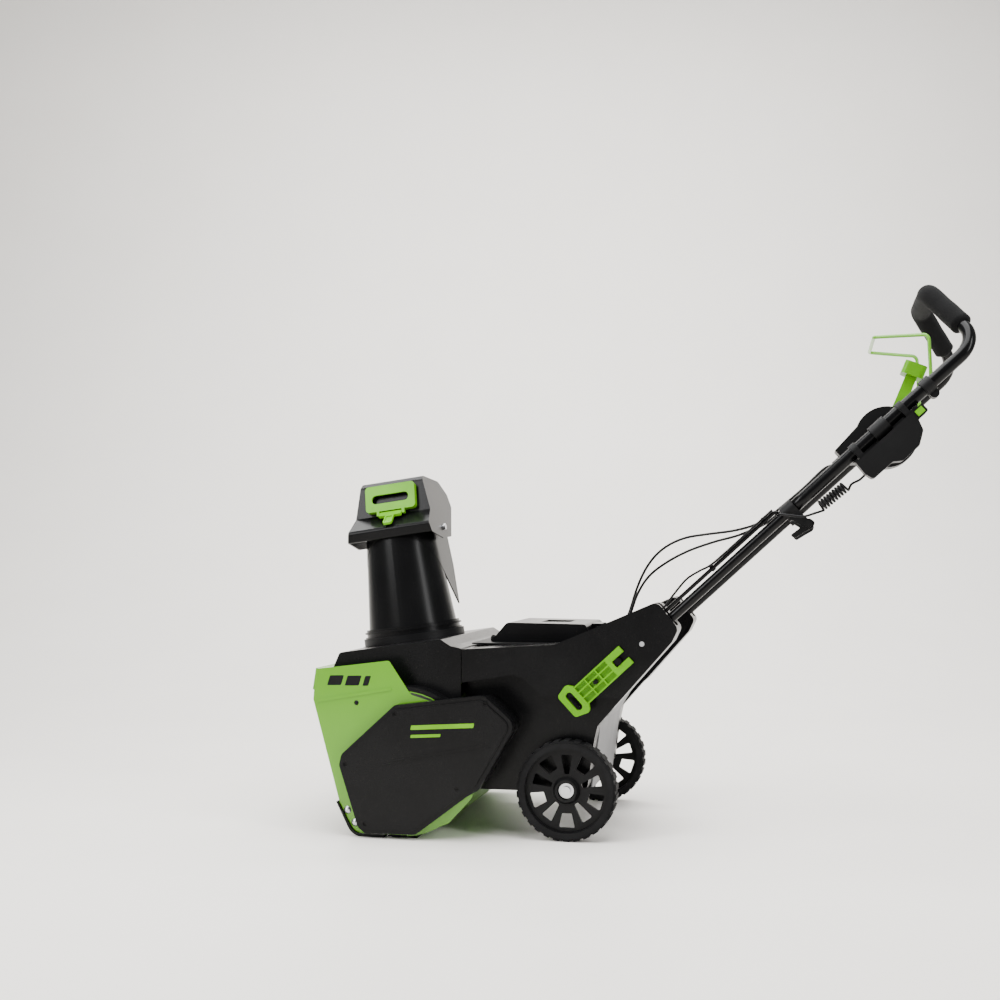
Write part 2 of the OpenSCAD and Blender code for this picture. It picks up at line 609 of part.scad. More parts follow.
// On the hood's back wall: x outwards, y across, z up along the wall.
module on_hood() chute_frame() translate([40, 0, 254]) rotate([0, -15.3, 0]) children();
module block(x0, x1, y1, z0, z1, r) translate([x0, 0, 0]) rotate([90, 0, 90]) linear_extrude(x1 - x0)
    polygon(rounded([[-y1, z0, r], [y1, z0, r], [y1, z1, r], [-y1, z1, r]]));
module deflector_grip() color(green) from_axle() on_hood() difference() {
    union() {
        block(0.3, 15, 57, 4, 64, 8);
        for (s = [-1, 1]) translate([6, s * 29 - 3, trigger_c[1] - 3.5]) cube([10.5, 6, 12]);
    }
    block(-1, 11, 53, 8, 60, 6);
    block(-1, 20, 42, 22, 42, 9);
    translate([trigger_c[0], 0, trigger_c[1]]) rotate([90, 0, 0])
        cylinder(r = 3 + run_gap, h = 100, center = true);
}
trigger_c = [12, -3];    // the trigger's hinge on the hood, [outwards, up]
trigger_lean = 43;       // how far the trigger leans out, clear of the elbow
module deflector_trigger() color(green) from_axle() on_hood() translate([trigger_c[0], 0, trigger_c[1]]) {
    rotate([90, 0, 0]) cylinder(r = 3, h = 63, center = true);
    rotate([0, -trigger_lean, 0]) difference() {
        union() {
            block(-2, 4, 25.5, -14, 3, 3);
            block(-1.5, 4, 10, -47, -8, 5);
        }
        block(2, 8, 7, -43, -18, 3);
    }
}

// ---- battery lid ----------------------------------------------------------------------------
lid_hinge = [-192, deck_z + 6];
lid_line = [[-186, deck_z + 1, 0], [24, deck_z + 1, 0], [18, deck_z + 1 + lid_h, 8],
    [-152, deck_z + 3 + lid_h, 12]];
module battery_lid() color(black) from_axle() difference() {
    union() {
        difference() {
            along_x(-lid_x, lid_x) polygon(rounded(lid_line));
            along_x(-lid_x + wall, lid_x - wall) polygon([[-181, deck_z], [20, deck_z],
                [15, deck_z - 2 + lid_h], [-152, deck_z + lid_h]]);
            // shallow finger recess in the top
            translate([-45, -90, deck_z + lid_h - 1]) cube([90, 60, 10]);
        }
        translate([-48, -93, deck_z + lid_h - 4]) cube([96, 66, wall]);
        both_sides() rod_x(lid_hinge, 5.5, 40, 58);
        both_sides() translate([40, lid_hinge[0], lid_hinge[1] - 5]) cube([18, 10, 6]);
        // lug over the latch
        translate([-30, 18, latch_c[1] - 4]) cube([60, 22, 12]);
    }
    both_sides() rod_x(lid_hinge, 3 + run_gap, 30, 70);
    translate([-26, 24.6, latch_c[1] - 15]) cube([52, 20, 20]);
    rod_x(latch_c, 2 + run_gap, -40, 40);
}
latch_c = [30, deck_z + lid_h - 9];
module lid_latch() color([0.3, 0.3, 0.31]) from_axle() {
    rod_x(latch_c, 2, -29, 29);
    along_x(-25, 25) polygon(rounded([[26, latch_c[1] + 2.2, 1], [26, deck_z + 4, 2], [32, deck_z + 4, 2],
        [40, deck_z + 12, 4], [35, deck_z + 16, 4], [34, latch_c[1] + 2.2, 1]], 3));
}
module lid_posts() both_sides() {
    rod_x(lid_hinge, 3, 31, 67);
    for (x = [31, 59]) translate([x, lid_hinge[0] - 4, deck_z - wall]) cube([8, 8, wall + 9]);
}

// ---- handle: t runs up the tube from the fold axis, p stands off it towards the front and up ---
function hp(t, p = 0) = fold_c + t * [cos(handle_slope), sin(handle_slope)]
    + p * [-sin(handle_slope), cos(handle_slope)];
function h3(x, t, p = 0) = [x, hp(t, p)[0], hp(t, p)[1]];
module handle_x(x0, x1) along_x(x0, x1) translate(fold_c) rotate(handle_slope) children();
join_t = 70 + lower_len;       // where the upper tube begins
corner_t = join_t + upper_len; // where the tube would turn a sharp corner
grip_t = corner_t + 14;
grip_p = 136;
bend_r = 50;
grip_bend_r = 34;

// The points of a bend of radius r at corner i, or the end point itself.
function bend_points(p, i, r, n) = i == 0 || i == len(p) - 1 ? [p[i]] :
    let (u = unit(p[i - 1] - p[i]), w = unit(p[i + 1] - p[i]), half = acos(u * w) / 2,
         m = p[i] + unit(u + w) * r / sin(half), turn = 180 - 2 * half,
         s = p[i] + u * r / tan(half) - m, e = p[i] + w * r / tan(half) - m)
    [for (k = [0:n]) m + (s * sin(turn * (1 - k / n)) + e * sin(turn * k / n)) / sin(turn)];
function bent(p, bends, n) = [for (i = [0:len(p) - 1]) each bend_points(p, i, bends[i], n)];
function mirrored(p) = concat(p, [for (i = [len(p) - 1:-1:0]) [-p[i][0], p[i][1], p[i][2]]]);

module lower_tube() difference() {
    rod(h3(tube_x, -34), h3(tube_x, join_t + overlap), lower_r);
    rod(h3(tube_x, -40), h3(tube_x, join_t + overlap + 10), lower_r - 1.5);
    rod_x(fold_c, fold_r + run_gap, tube_x - 20, tube_x + 20);
}
module left_lower_tube() color(black) from_axle() lower_tube();
module right_lower_tube() color(black) from_axle() mirror([1, 0, 0]) lower_tube();
rod_p = lower_r + 8;
module stay_rod() color(black) from_axle() {
    sweep(bent([h3(tube_x, 36, lower_r + 0.1), h3(tube_x, 36, rod_p), h3(tube_x, join_t - 8, rod_p),
        h3(tube_x, join_t - 8, lower_r + 0.1)], [0, 5, 5, 0], 4), 4, 12);
    // two cable clips on the rod
    for (t = [198, 334]) rod(h3(tube_x, t, rod_p), h3(tube_x, t + 9, rod_p), 6);
    for (t = [198, 334]) rod(h3(tube_x - 8, t + 4.5, rod_p + 5), h3(tube_x + 4, t + 4.5, rod_p + 5), 4);
}
module handle_pivots() color(steel) from_axle() both_sides() rod_x(fold_c, fold_r, web_x - 8, ear_x - 0.6);

// Straight legs that the lower tubes slide in, and the bent loop between their upper ends.
leg_end = corner_t - bend_r - 2;
loop_up = hp(0, 1) - hp(1, 0);
loop_axis = [0, loop_up[0], loop_up[1]];
loop_points = mirrored([h3(tube_x, leg_end - 4), h3(tube_x, corner_t), h3(grip_x, grip_t, grip_p)]);
module handle_loop(r) sweep(bent(loop_points, [0, bend_r, grip_bend_r, grip_bend_r, bend_r, 0], 7), r, 24, loop_axis);
module upper_handle() color(black) from_axle() difference() {
    union() {
        both_sides() rod(h3(tube_x, join_t), h3(tube_x, leg_end), upper_r);
        handle_loop(upper_r - 0.05);
    }
    both_sides() rod(h3(tube_x, join_t - 1), h3(tube_x, join_t + overlap + 12), lower_r + slip_gap);
}
function along(a, b, d) = a + unit(b - a) * d;
grip_points = mirrored([along(loop_points[1], loop_points[2], bend_r + 2), loop_points[2]]);
bore_points = mirrored([along(loop_points[1], loop_points[2], bend_r - 2), loop_points[2]]);
module grip_shape(p, r) sweep(bent(p, [0, grip_bend_r, grip_bend_r, 0], 7), r, 24, loop_axis);
module foam_grip() color([0.2, 0.2, 0.21]) from_axle() difference() {
    grip_shape(grip_points, foam_r);
    grip_shape(bore_points, upper_r + 0.3);
}
// Collars at the lower ends of the upper tube, each with two ears for its clamp lever.
lever_c = [join_t + 22, -43];
module clamp_collar() difference() {
    union() {
        rod(h3(tube_x, join_t - 0.5), h3(tube_x, join_t + 27), upper_r + 4.5);
        for (x = [tube_x - 14, tube_x + 9]) handle_x(x, x + 5)
            polygon(rounded([[join_t + 2, -8, 2], [join_t + 14, -50, 7], [join_t + 30, -50, 7], [join_t + 26, -8, 2]]));
    }
    rod(h3(tube_x, join_t - 2), h3(tube_x, join_t + 40), upper_r);
    rod_x(hp(lever_c[0], lever_c[1]), 3.5 + run_gap, tube_x - 20, tube_x + 20);
}
module tube_clamps() color(black) from_axle() both_sides() clamp_collar();
module clamp_lever() {
    rod_x(hp(lever_c[0], lever_c[1]), 3.5, tube_x - 19, tube_x + 19);
    handle_x(tube_x - 8.5, tube_x + 8.5) polygon(rounded([[join_t - 18, -36, 3], [join_t - 16, -46, 4],
        [join_t + 6, -50, 12], [join_t + 24, -54, 8], [join_t + 34, -50, 6], [join_t + 32, -36, 8],
        [join_t + 16, -31, 10], [join_t + 4, -38, 10]]));
    rod_x(hp(lever_c[0], lever_c[1]), 7, tube_x + 14.5, tube_x + 19.5);
}
module left_clamp_lever() color(black) from_axle() clamp_lever();
module right_clamp_lever() color(black) from_axle() mirror([1, 0, 0]) clamp_lever();

// ---- bail and its lugs ----------------------------------------------------------------------
bail_t = corner_t - 125;
bail_p = -19;
module bail_lugs() color(black) from_axle() both_sides() difference() {
    union() {
        rod(h3(tube_x, bail_t - 11), h3(tube_x, bail_t + 11), upper_r + 4);
        rod_x(hp(bail_t, bail_p), 9, tube_x - 26, tube_x + 4);
    }
    rod(h3(tube_x, bail_t - 40), h3(tube_x, bail_t + 40), upper_r);
    rod_x(hp(bail_t, bail_p), bail_r + run_gap, tube_x - 60, tube_x);
}
bail_pin = 30;           // length of the straight pin at each end
bail_points = mirrored([h3(tube_x + 1 - bail_pin, bail_t, bail_p), h3(150, bail_t, bail_p),
    h3(150, bail_t + 77, 74), h3(106, bail_t + 6, 146)]);
module bail() color(green) from_axle() {
    both_sides() rod_x(hp(bail_t, bail_p), bail_r, tube_x - 3 - bail_pin, tube_x - 3);
    sweep(bent(bail_points, [0, 12, 12, 12, 12, 12, 12, 0], 6), bail_r - 0.03, 12, h3(0, 1) - h3(0, 0));
}

// ---- chute control --------------------------------------------------------------------------
drum_c = hp(corner_t - 240, -18);
drum_x0 = 70;
drum_x1 = 150;
lever_x0 = 98;
lever_x1 = 122;
lever_a = 68;            // resting direction of the lever, from the rear, in degrees
lever_turn = 90;
module drum_outline(t) {
    translate(drum_c) circle(r = drum_r - t);
    translate(fold_c) rotate(handle_slope) polygon([[corner_t - 329 + t, -4 + t],
        [corner_t - 329 + t, 30 - t], [corner_t - 262, 36 - t], [corner_t - 262, -66 + t]]);
}
module sector(c, r, a0, a1) polygon(concat([c], arc(c, r, a0, a1, 12)));
module control_housing() color(black) from_axle() difference() {
    union() {
        difference() {
            along_x(drum_x0, drum_x1) drum_outline(0);
            along_x(drum_x0 + wall, drum_x1 - wall) drum_outline(wall);
            along_x(lever_x0 - 4, lever_x1 + 4) sector(drum_c, drum_r + 20, lever_a - 14, lever_a + lever_turn + 14);
        }
        rod_x(drum_c, 6, drum_x0 + 1, drum_x1 - 1);
        // saddle that holds the housing to the left tube
        rod(h3(tube_x, corner_t - 262), h3(tube_x, corner_t - 226), upper_r + 4);
        handle_x(drum_x1 - eps, tube_x) polygon([[corner_t - 262, -14], [corner_t - 226, -14],
            [corner_t - 226, 10], [corner_t - 262, 10]]);
        // cable adjusters
        for (x = [92, 108]) rod(h3(x, corner_t - 327, 13), h3(x, corner_t - 347, 13), 5);
    }
    rod(h3(tube_x, corner_t - 300), h3(tube_x, corner_t - 200), upper_r);
}
module on_lever() translate([0, drum_c[0], drum_c[1]]) rotate([lever_a, 0, 0]) children();
module chute_lever() color(green) from_axle() difference() {
    union() {
        rod_x(drum_c, drum_r - 12, lever_x0 + 2, lever_x1 - 2);
        on_lever() translate([lever_x0 + 1, 30, -11]) cube([lever_x1 - lever_x0 - 2, 104, 22]);
        on_lever() translate([110, 130, 0]) rotate([-90, 0, 0]) linear_extrude(26)
            polygon(rounded([[-28, -22, 9], [28, -22, 9], [28, 22, 9], [-28, 22, 9]]));
    }
    rod_x(drum_c, 6 + run_gap, 0, 200);
}

// ---- switch box -----------------------------------------------------------------------------
box_x0 = tube_x - 26;
box_x1 = tube_x + 26;
box_top = -17.5;
box_line = [[-322, box_top, 0], [-324, -44, 6], [-320, -63, 8], [-271, -63, 8], [-257, -74, 10],
    [-215, -74, 12], [-190, -57, 10], [-183, -36, 4], [-158, -36, 4], [-158, box_top, 0]];
button_c = [-171, -26.5];
module switch_box() color(black) from_axle() difference() {
    union() {
        handle_x(box_x0, box_x1) translate([corner_t, 0]) polygon(rounded(box_line));
        for (t = [-312, -196]) rod(h3(tube_x, corner_t + t), h3(tube_x, corner_t + t + 14), upper_r + 3);
        for (x = [box_x0 + 6, box_x1 - 14], t = [-311, -195]) handle_x(x, x + 8)
            translate([corner_t + t, box_top - 1]) square([12, 1 - box_top]);
    }
    rod(h3(tube_x, corner_t - 360), h3(tube_x, corner_t - 140), upper_r);
    handle_x(box_x1 - 14, box_x1 + 5) translate([corner_t, 0] + button_c) square([16.6, 12.6], center = true);
}
module start_button() color(green) from_axle() 
    handle_x(box_x1 - 9, box_x1 + 4) translate([corner_t, 0] + button_c) square([16, 12], center = true);

// ---- cables ---------------------------------------------------------------------------------
// Each route is a list of points about the floor point under the axle, from the body upwards.
front_route = [[70, 56, 389.5], [72, 64, 402], [78, 88, 422], [84, 104, 448], [92, 122, 501], [98, 140, 540],
    [104, 162, 570], [112, 190, 592], [122, 226, 607], [136, 270, 614], [152, 320, 620], [172, 356, 628],
    [180, 388, 640], [174, 420, 668], [140, 462, 706], [112, 500, 744], [108, 518, 764]];
rear_route = [[84, 56, 389.5], [86, 66, 402], [92, 90, 422], [98, 108, 446], [106, 126, 492], [112, 150, 528],
    [120, 186, 556], [130, 232, 580], [144, 284, 598], [160, 330, 610], [176, 362, 622],
    [188, 392, 636], [180, 426, 666], [132, 466, 704], [96, 502, 744], [92, 518, 764]];
function shifted_end(route, x) = concat([for (i = [0:len(route) - 2]) route[i]], [h3(x, corner_t - 349.5, 13)]);
module front_chute_cable() color(black) from_axle() sweep(curve(shifted_end(front_route, 108), 2), cable_r, 8);
module rear_chute_cable() color(black) from_axle() sweep(curve(shifted_end(rear_route, 92), 2), cable_r, 8);
lead_r = 2.2;
module body_lead() color(black) from_axle() sweep(curve([for (q = [[30, 21], [80, 27], [112, 33], [150, 38],
    [180, 33], [202, 27], [240, 25.5], [330, 25.5], [364, 25.5]]) h3(tube_x + 9, q[0], q[1] - 2)], 2), lead_r, 8);
module coil_cord() color(black) from_axle() {
    rod(h3(tube_x, join_t + 62, -34), h3(tube_x, join_t + 122, -37), 12);
    sweep(curve([h3(tube_x + 24, join_t - 6, 8), h3(tube_x + 25, join_t + 8, -8), h3(tube_x + 24, join_t + 24, -26),
        h3(tube_x + 14, join_t + 44, -34), h3(tube_x, join_t + 66, -34)], 3), 3.2, 8);
    sweep(curve([h3(tube_x, join_t + 118, -37), h3(tube_x, join_t + 134, -42), h3(tube_x, join_t + 150, -46),
        h3(tube_x, corner_t - 324.5, -46)], 3), 3.2, 8);
}

// ---- clean-out tool --------------------------------------------------------------------------
tool_c = [18, 281];
tool_a = 43;
tool_x = ear_x + 0.6;
module on_tool(x0, x1) along_x(x0, x1) translate(tool_c) rotate(tool_a) children();
module cleanout_tool() color(green) from_axle() difference() {
    union() {
        on_tool(tool_x, tool_x + 11) difference() {
            polygon(rounded([[-21, -24, 6], [8, -36, 8], [17, -24, 6], [17, 24, 6], [8, 36, 8], [-21, 30, 8]]));
            polygon(rounded([[-9, -20, 7], [6, -20, 7], [6, 22, 7], [-9, 22, 7]]));
        }
        on_tool(tool_x, tool_x + 3) translate([16, -22]) square([84, 44]);
        for (b = [-22, -8, 6, 19]) on_tool(tool_x, tool_x + 10) translate([16, b]) square([84, 3]);
        for (a = [42, 70]) on_tool(tool_x, tool_x + 10) translate([a, -22]) square([2.5, 44]);
        on_tool(tool_x, tool_x + 10) difference() {
            translate([98, -22]) square([41, 44]);
            translate([108, -7.5]) square([40, 15]);
        }
    }
    on_tool(tool_x - 1, tool_x + 20) translate([57, 0.5]) circle(r = 4.8);
}
module tool_pegs() on_tool(ear_x - eps, ear_x + 13) {
    translate([118, 0]) circle(r = 7);
    translate([57, 0.5]) circle(r = 4.5);
}

auger_housing();
left_side_plate();
right_side_plate();
scraper_bar();
skid_shoes();
steel_bolts();
belt_cover();
right_side_cover();
cover_screws();
front_shroud();
left_side_shell();
right_side_shell();
battery_bay();
belly_pan();
rear_panel();
drive_motor();
controller();
drive_belt();
auger_bearings();
turret_base();
wheel_axle();
front_chute_cable();
rear_chute_cable();
body_lead();
motor_pulley();
auger_shaft();
auger_pulley();
auger_core();
auger_paddles();
left_wheel();
left_tyre();
right_wheel();
right_tyre();
chute_ring();
chute_tube();
chute_elbow();
deflector_pins();
deflector();
deflector_grip();
deflector_trigger();
battery_lid();
lid_latch();
battery_pack();
left_lower_tube();
right_lower_tube();
stay_rod();
handle_pivots();
tube_clamps();
left_clamp_lever();
right_clamp_lever();
upper_handle();
foam_grip();
bail_lugs();
bail();
control_housing();
chute_lever();
switch_box();
start_button();
coil_cord();
cleanout_tool();
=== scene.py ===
# %% [markdown]
# # A battery snow blower, dressed for the camera
# A single-stage snow blower: a paddle auger in a green steel housing, a chute that turns on a
# turret, two small wheels, and a folding telescopic handle with a bail.  All its hard pieces come
# from the CAD frame and keep their place, except the bent handle tube and the bail, which are
# swept anew.  This lesson adds what CAD leaves plain: finishes, soft foam, a coiled cord and
# slack cables.
#
# Three ways to dress a CAD frame:
# 1. keep each CAD mesh and only assign materials: exact, but edges are knife sharp;
# 2. remodel everything by hand: lovely edges, but the joints stop matching;
# 3. keep hard pieces, soften their edges with a bevel, and replace only bent tubes and cords.
#
# The third is used here, because the motion frame and the picture must agree.

import json
import math

import bpy
import numpy as np
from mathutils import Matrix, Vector


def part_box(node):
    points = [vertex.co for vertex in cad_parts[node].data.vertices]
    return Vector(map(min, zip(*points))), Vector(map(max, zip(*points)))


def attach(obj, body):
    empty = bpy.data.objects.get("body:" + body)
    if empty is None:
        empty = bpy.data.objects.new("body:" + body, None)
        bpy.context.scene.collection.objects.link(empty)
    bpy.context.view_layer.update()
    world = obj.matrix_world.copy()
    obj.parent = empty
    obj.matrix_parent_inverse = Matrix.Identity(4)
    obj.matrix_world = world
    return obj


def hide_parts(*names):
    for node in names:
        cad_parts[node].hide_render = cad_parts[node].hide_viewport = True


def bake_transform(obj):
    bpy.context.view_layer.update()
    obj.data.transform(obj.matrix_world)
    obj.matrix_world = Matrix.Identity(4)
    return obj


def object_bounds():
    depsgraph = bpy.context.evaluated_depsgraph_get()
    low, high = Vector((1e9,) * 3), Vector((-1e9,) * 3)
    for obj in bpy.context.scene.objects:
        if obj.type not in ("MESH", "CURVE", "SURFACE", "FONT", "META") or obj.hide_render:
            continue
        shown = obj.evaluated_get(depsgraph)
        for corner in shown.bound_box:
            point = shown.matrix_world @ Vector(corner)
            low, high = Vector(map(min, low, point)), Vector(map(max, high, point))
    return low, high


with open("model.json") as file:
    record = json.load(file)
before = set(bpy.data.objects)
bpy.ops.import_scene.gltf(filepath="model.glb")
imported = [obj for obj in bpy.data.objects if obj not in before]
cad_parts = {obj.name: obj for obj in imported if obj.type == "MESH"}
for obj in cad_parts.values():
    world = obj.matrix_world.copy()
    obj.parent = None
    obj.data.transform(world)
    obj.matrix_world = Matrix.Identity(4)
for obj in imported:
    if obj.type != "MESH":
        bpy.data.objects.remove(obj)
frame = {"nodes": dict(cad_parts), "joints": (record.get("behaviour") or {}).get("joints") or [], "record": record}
nodes = frame["nodes"]
cad_low, cad_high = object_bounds()
CENTRE = (cad_low + cad_high) / 2
SIZE = cad_high - cad_low
print("CAD box", [round(v, 3) for v in SIZE])

# Places that several pieces share, measured on the frame, in metres.
wheel_low, wheel_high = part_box("left_wheel")
AXLE_Y = (wheel_low.y + wheel_high.y) / 2
AXLE_Z = (wheel_low.z + wheel_high.z) / 2
MM = 0.001


def joint(name):
    """The frame's joint of that name."""
    return next(j for j in frame["joints"] if j["name"] == name)


def joint_place(name):
    """The point a joint turns about, in metres."""
    return np.array(joint(name)["pos_m"])


FOLD = joint_place("handle_fold")
UP_HANDLE = np.array(joint("handle_extend")["axis"])
OFF_HANDLE = np.array([0.0, -UP_HANDLE[2], UP_HANDLE[1]])
CHUTE_BASE = joint_place("chute_turn")
CHUTE_UP = np.array(joint("chute_turn")["axis"])
CHUTE_BACK = np.array([0.0, CHUTE_UP[2], -CHUTE_UP[1]])


def on_handle(x, t, p):
    """A place x across, t millimetres up the tube from the fold axis and p off it."""
    return np.array([x * MM, FOLD[1], FOLD[2]]) + t * MM * UP_HANDLE + p * MM * OFF_HANDLE


def from_axle(x, y, z):
    """A place given in millimetres about the floor point under the axle."""
    return np.array([x * MM, AXLE_Y + y * MM, z * MM])


# %% [markdown]
# ## Camera
# The machine is seen from its +X side at eye level, a little from behind, through a normal lens.
# The camera stays level and its frame is shifted, so upright edges stay upright.

# %% Place the camera
CAMERA_DISTANCE = 2.900
CAMERA_BACK = 0.473
CAMERA_HEIGHT = 0.574
LOOK = Vector((-0.9748, -0.2233, 0.0))
camera_data = bpy.data.cameras.new("camera")
camera_data.lens = 48.64
camera_data.sensor_width = 36.0
camera_data.shift_y = 0.054
camera = bpy.data.objects.new("camera", camera_data)
camera.location = (CAMERA_DISTANCE, AXLE_Y + CAMERA_BACK, CAMERA_HEIGHT)
camera.rotation_mode = "QUATERNION"
camera.rotation_quaternion = LOOK.to_track_quat("-Z", "Y")
bpy.context.scene.collection.objects.link(camera)
bpy.context.scene.camera = camera
print("camera at", tuple(round(v, 3) for v in camera.location))

# %% [markdown]
# ## Shader arithmetic
# A small class wraps a node socket, so a pattern reads as a formula instead of a wiring plan.


# %% Write shader maths as formulas
def add_node(tree, kind, settings, inputs):
    """A node of that type: its settings first, then the values or links of its sockets."""
    node = tree.nodes.new(kind)
    for key, value in settings.items():
        setattr(node, key, value)
    for key, value in inputs.items():
        socket = node.inputs[key] if isinstance(key, int) else next(
            s for s in node.inputs if s.identifier == key)
        if isinstance(value, Num):
            tree.links.new(value.socket, socket)
        elif isinstance(value, bpy.types.NodeSocket):
            tree.links.new(value, socket)
        else:
            socket.default_value = value
    return node


class Num:
    """A value in a node tree that can be added, multiplied and subtracted."""

    def __init__(self, tree, socket):
        self.tree = tree
        self.socket = socket

    def _op(self, kind, first, second):
        node = add_node(self.tree, "ShaderNodeMath", {"operation": kind}, {0: first, 1: second})
        return Num(self.tree, node.outputs[0])

    def __add__(self, other):
        return self._op("ADD", self, other)

    __radd__ = __add__

    def __mul__(self, other):
        return self._op("MULTIPLY", self, other)

    __rmul__ = __mul__

    def __sub__(self, other):
        return self._op("SUBTRACT", self, other)

    def __rsub__(self, other):
        return self._op("SUBTRACT", other, self)

    def step(self, low, high):
        """0 below low, 1 above high, and smooth between them."""
        node = add_node(self.tree, "ShaderNodeMapRange", {"interpolation_type": "SMOOTHSTEP"},
                        {"Value": self, "From Min": low, "From Max": high})
        return Num(self.tree, node.outputs[0])


class Shade:
    """One material: a principled shader, with object coordinates, noise and bump at hand."""

    def __init__(self, name, **fixed):
        self.material = bpy.data.materials.new(name)
        self.material.use_nodes = True
        self.tree = self.material.node_tree
        self.shader = self.tree.nodes["Principled BSDF"]
        self.place = self.node("ShaderNodeTexCoord", {}, {}).outputs["Object"]
        for key, value in fixed.items():
            self.shader.inputs[key.replace("_", " ")].default_value = value

    def node(self, kind, settings, inputs):
        return add_node(self.tree, kind, settings, inputs)

    def noise(self, scale, detail=3.0, rough=0.55, stretch=None):
        """Cloudy noise from 0 to 1; stretch scales the coordinates along each axis first."""
        place = self.place
        if stretch is not None:
            place = self.node("ShaderNodeVectorMath", {"operation": "MULTIPLY"},
                              {0: place, 1: stretch}).outputs[0]
        node = self.node("ShaderNodeTexNoise", {},
                         {"Vector": place, "Scale": scale, "Detail": detail, "Roughness": rough})
        return Num(self.tree, node.outputs["Fac"])

    def cells(self, scale):
        """Distance to the nearest of many scattered points."""
        node = self.node("ShaderNodeTexVoronoi", {}, {"Vector": self.place, "Scale": scale})
        return Num(self.tree, node.outputs["Distance"])

    def feed(self, name, value):
        self.tree.links.new(value.socket, self.shader.inputs[name])

    def colour(self, factor, low, high):
        """Base colour that goes from low to high with the factor."""
        node = self.node("ShaderNodeMix", {"data_type": "RGBA"},
                         {"Factor_Float": factor, "A_Color": (*low, 1), "B_Color": (*high, 1)})
        result = next(s for s in node.outputs if s.identifier == "Result_Color")
        self.tree.links.new(result, self.shader.inputs["Base Color"])

    def bump(self, height, depth, strength=1.0):
        """Raises the surface by the height times the depth in metres."""
        node = self.node("ShaderNodeBump", {},
                         {"Strength": strength, "Distance": depth, "Height": height})
        self.tree.links.new(node.outputs[0], self.shader.inputs["Normal"])


# %% [markdown]
# ## Finishes
# Moulded plastic is never one flat colour: its grain breaks up the highlight, and handling makes
# it a touch smoother in places.  Paint has a clear top layer over a slightly wavy coat.


# %% Make the finishes
def moulded(name, colour, rough, grain, depth, spread=0.06, shine=0.17):
    """Textured moulded plastic."""
    shade = Shade(name, Specular_IOR_Level=shine)
    cloud = shade.noise(9.0, 4.0)
    fine = shade.noise(grain, 2.0)
    shade.colour(cloud.step(0.3, 0.7), colour, [c * 1.25 + 0.001 for c in colour])
    shade.feed("Roughness", cloud * spread + fine * spread + (rough - spread))
    shade.bump(fine, depth)
    return shade.material


def painted(name, colour, rough=0.22, orange_peel=0.00012, shine=0.4, coat=0.35):
    """Glossy paint over sheet steel."""
    shade = Shade(name, Coat_Roughness=0.08, Specular_IOR_Level=shine)
    peel = shade.noise(420.0, 2.0)
    cloud = shade.noise(5.0, 3.0)
    shade.colour(cloud.step(0.25, 0.75), [c * 0.93 for c in colour], colour)
    shade.feed("Roughness", cloud * 0.08 + (rough - 0.04))
    shade.feed("Coat Weight", cloud * 0.1 + (coat - 0.05))
    shade.bump(peel, orange_peel)
    return shade.material


def metal(name, colour, rough, stretch=(1.0, 1.0, 1.0), scale=260.0):
    """Bare or plated metal with fine marks along one direction."""
    shade = Shade(name)
    marks = shade.noise(scale, 3.0, 0.6, stretch)
    cloud = shade.noise(30.0, 3.0)
    shade.colour(cloud.step(0.3, 0.7), [c * 0.82 for c in colour], colour)
    shade.feed("Roughness", marks * 0.16 + cloud * 0.1 + (rough - 0.12))
    shade.feed("Metallic", cloud * 0.02 + 0.98)
    shade.bump(marks, 0.00006)
    return shade.material


def rubber(name, colour, rough=0.72, grain=900.0):
    """Moulded rubber with a dusty bloom."""
    shade = Shade(name, Specular_IOR_Level=0.16)
    fine = shade.noise(grain, 2.0)
    dust = shade.noise(14.0, 5.0, 0.65)
    shade.colour(dust.step(0.35, 0.8), colour, [c * 1.8 + 0.002 for c in colour])
    shade.feed("Roughness", dust * 0.16 + (rough - 0.08))
    shade.bump(fine, 0.00018)
    return shade.material


def foam(name, colour):
    """Closed-cell foam: tiny pits, painted shade darkening each pit, and no shine."""
    shade = Shade(name, Specular_IOR_Level=0.08, Sheen_Weight=0.03, Sheen_Roughness=0.6)
    pits_and_pit_shade = shade.cells(620.0)
    cloud = shade.noise(40.0, 3.0)
    # painted shade: the colour is darker in the pits, exactly where the bump dents the surface
    shade.colour(pits_and_pit_shade.step(0.1, 0.6), [c * 0.7 for c in colour], colour)
    shade.feed("Roughness", cloud * 0.08 + 0.86)
    shade.bump(pits_and_pit_shade + cloud * 0.6, 0.0005)
    return shade.material


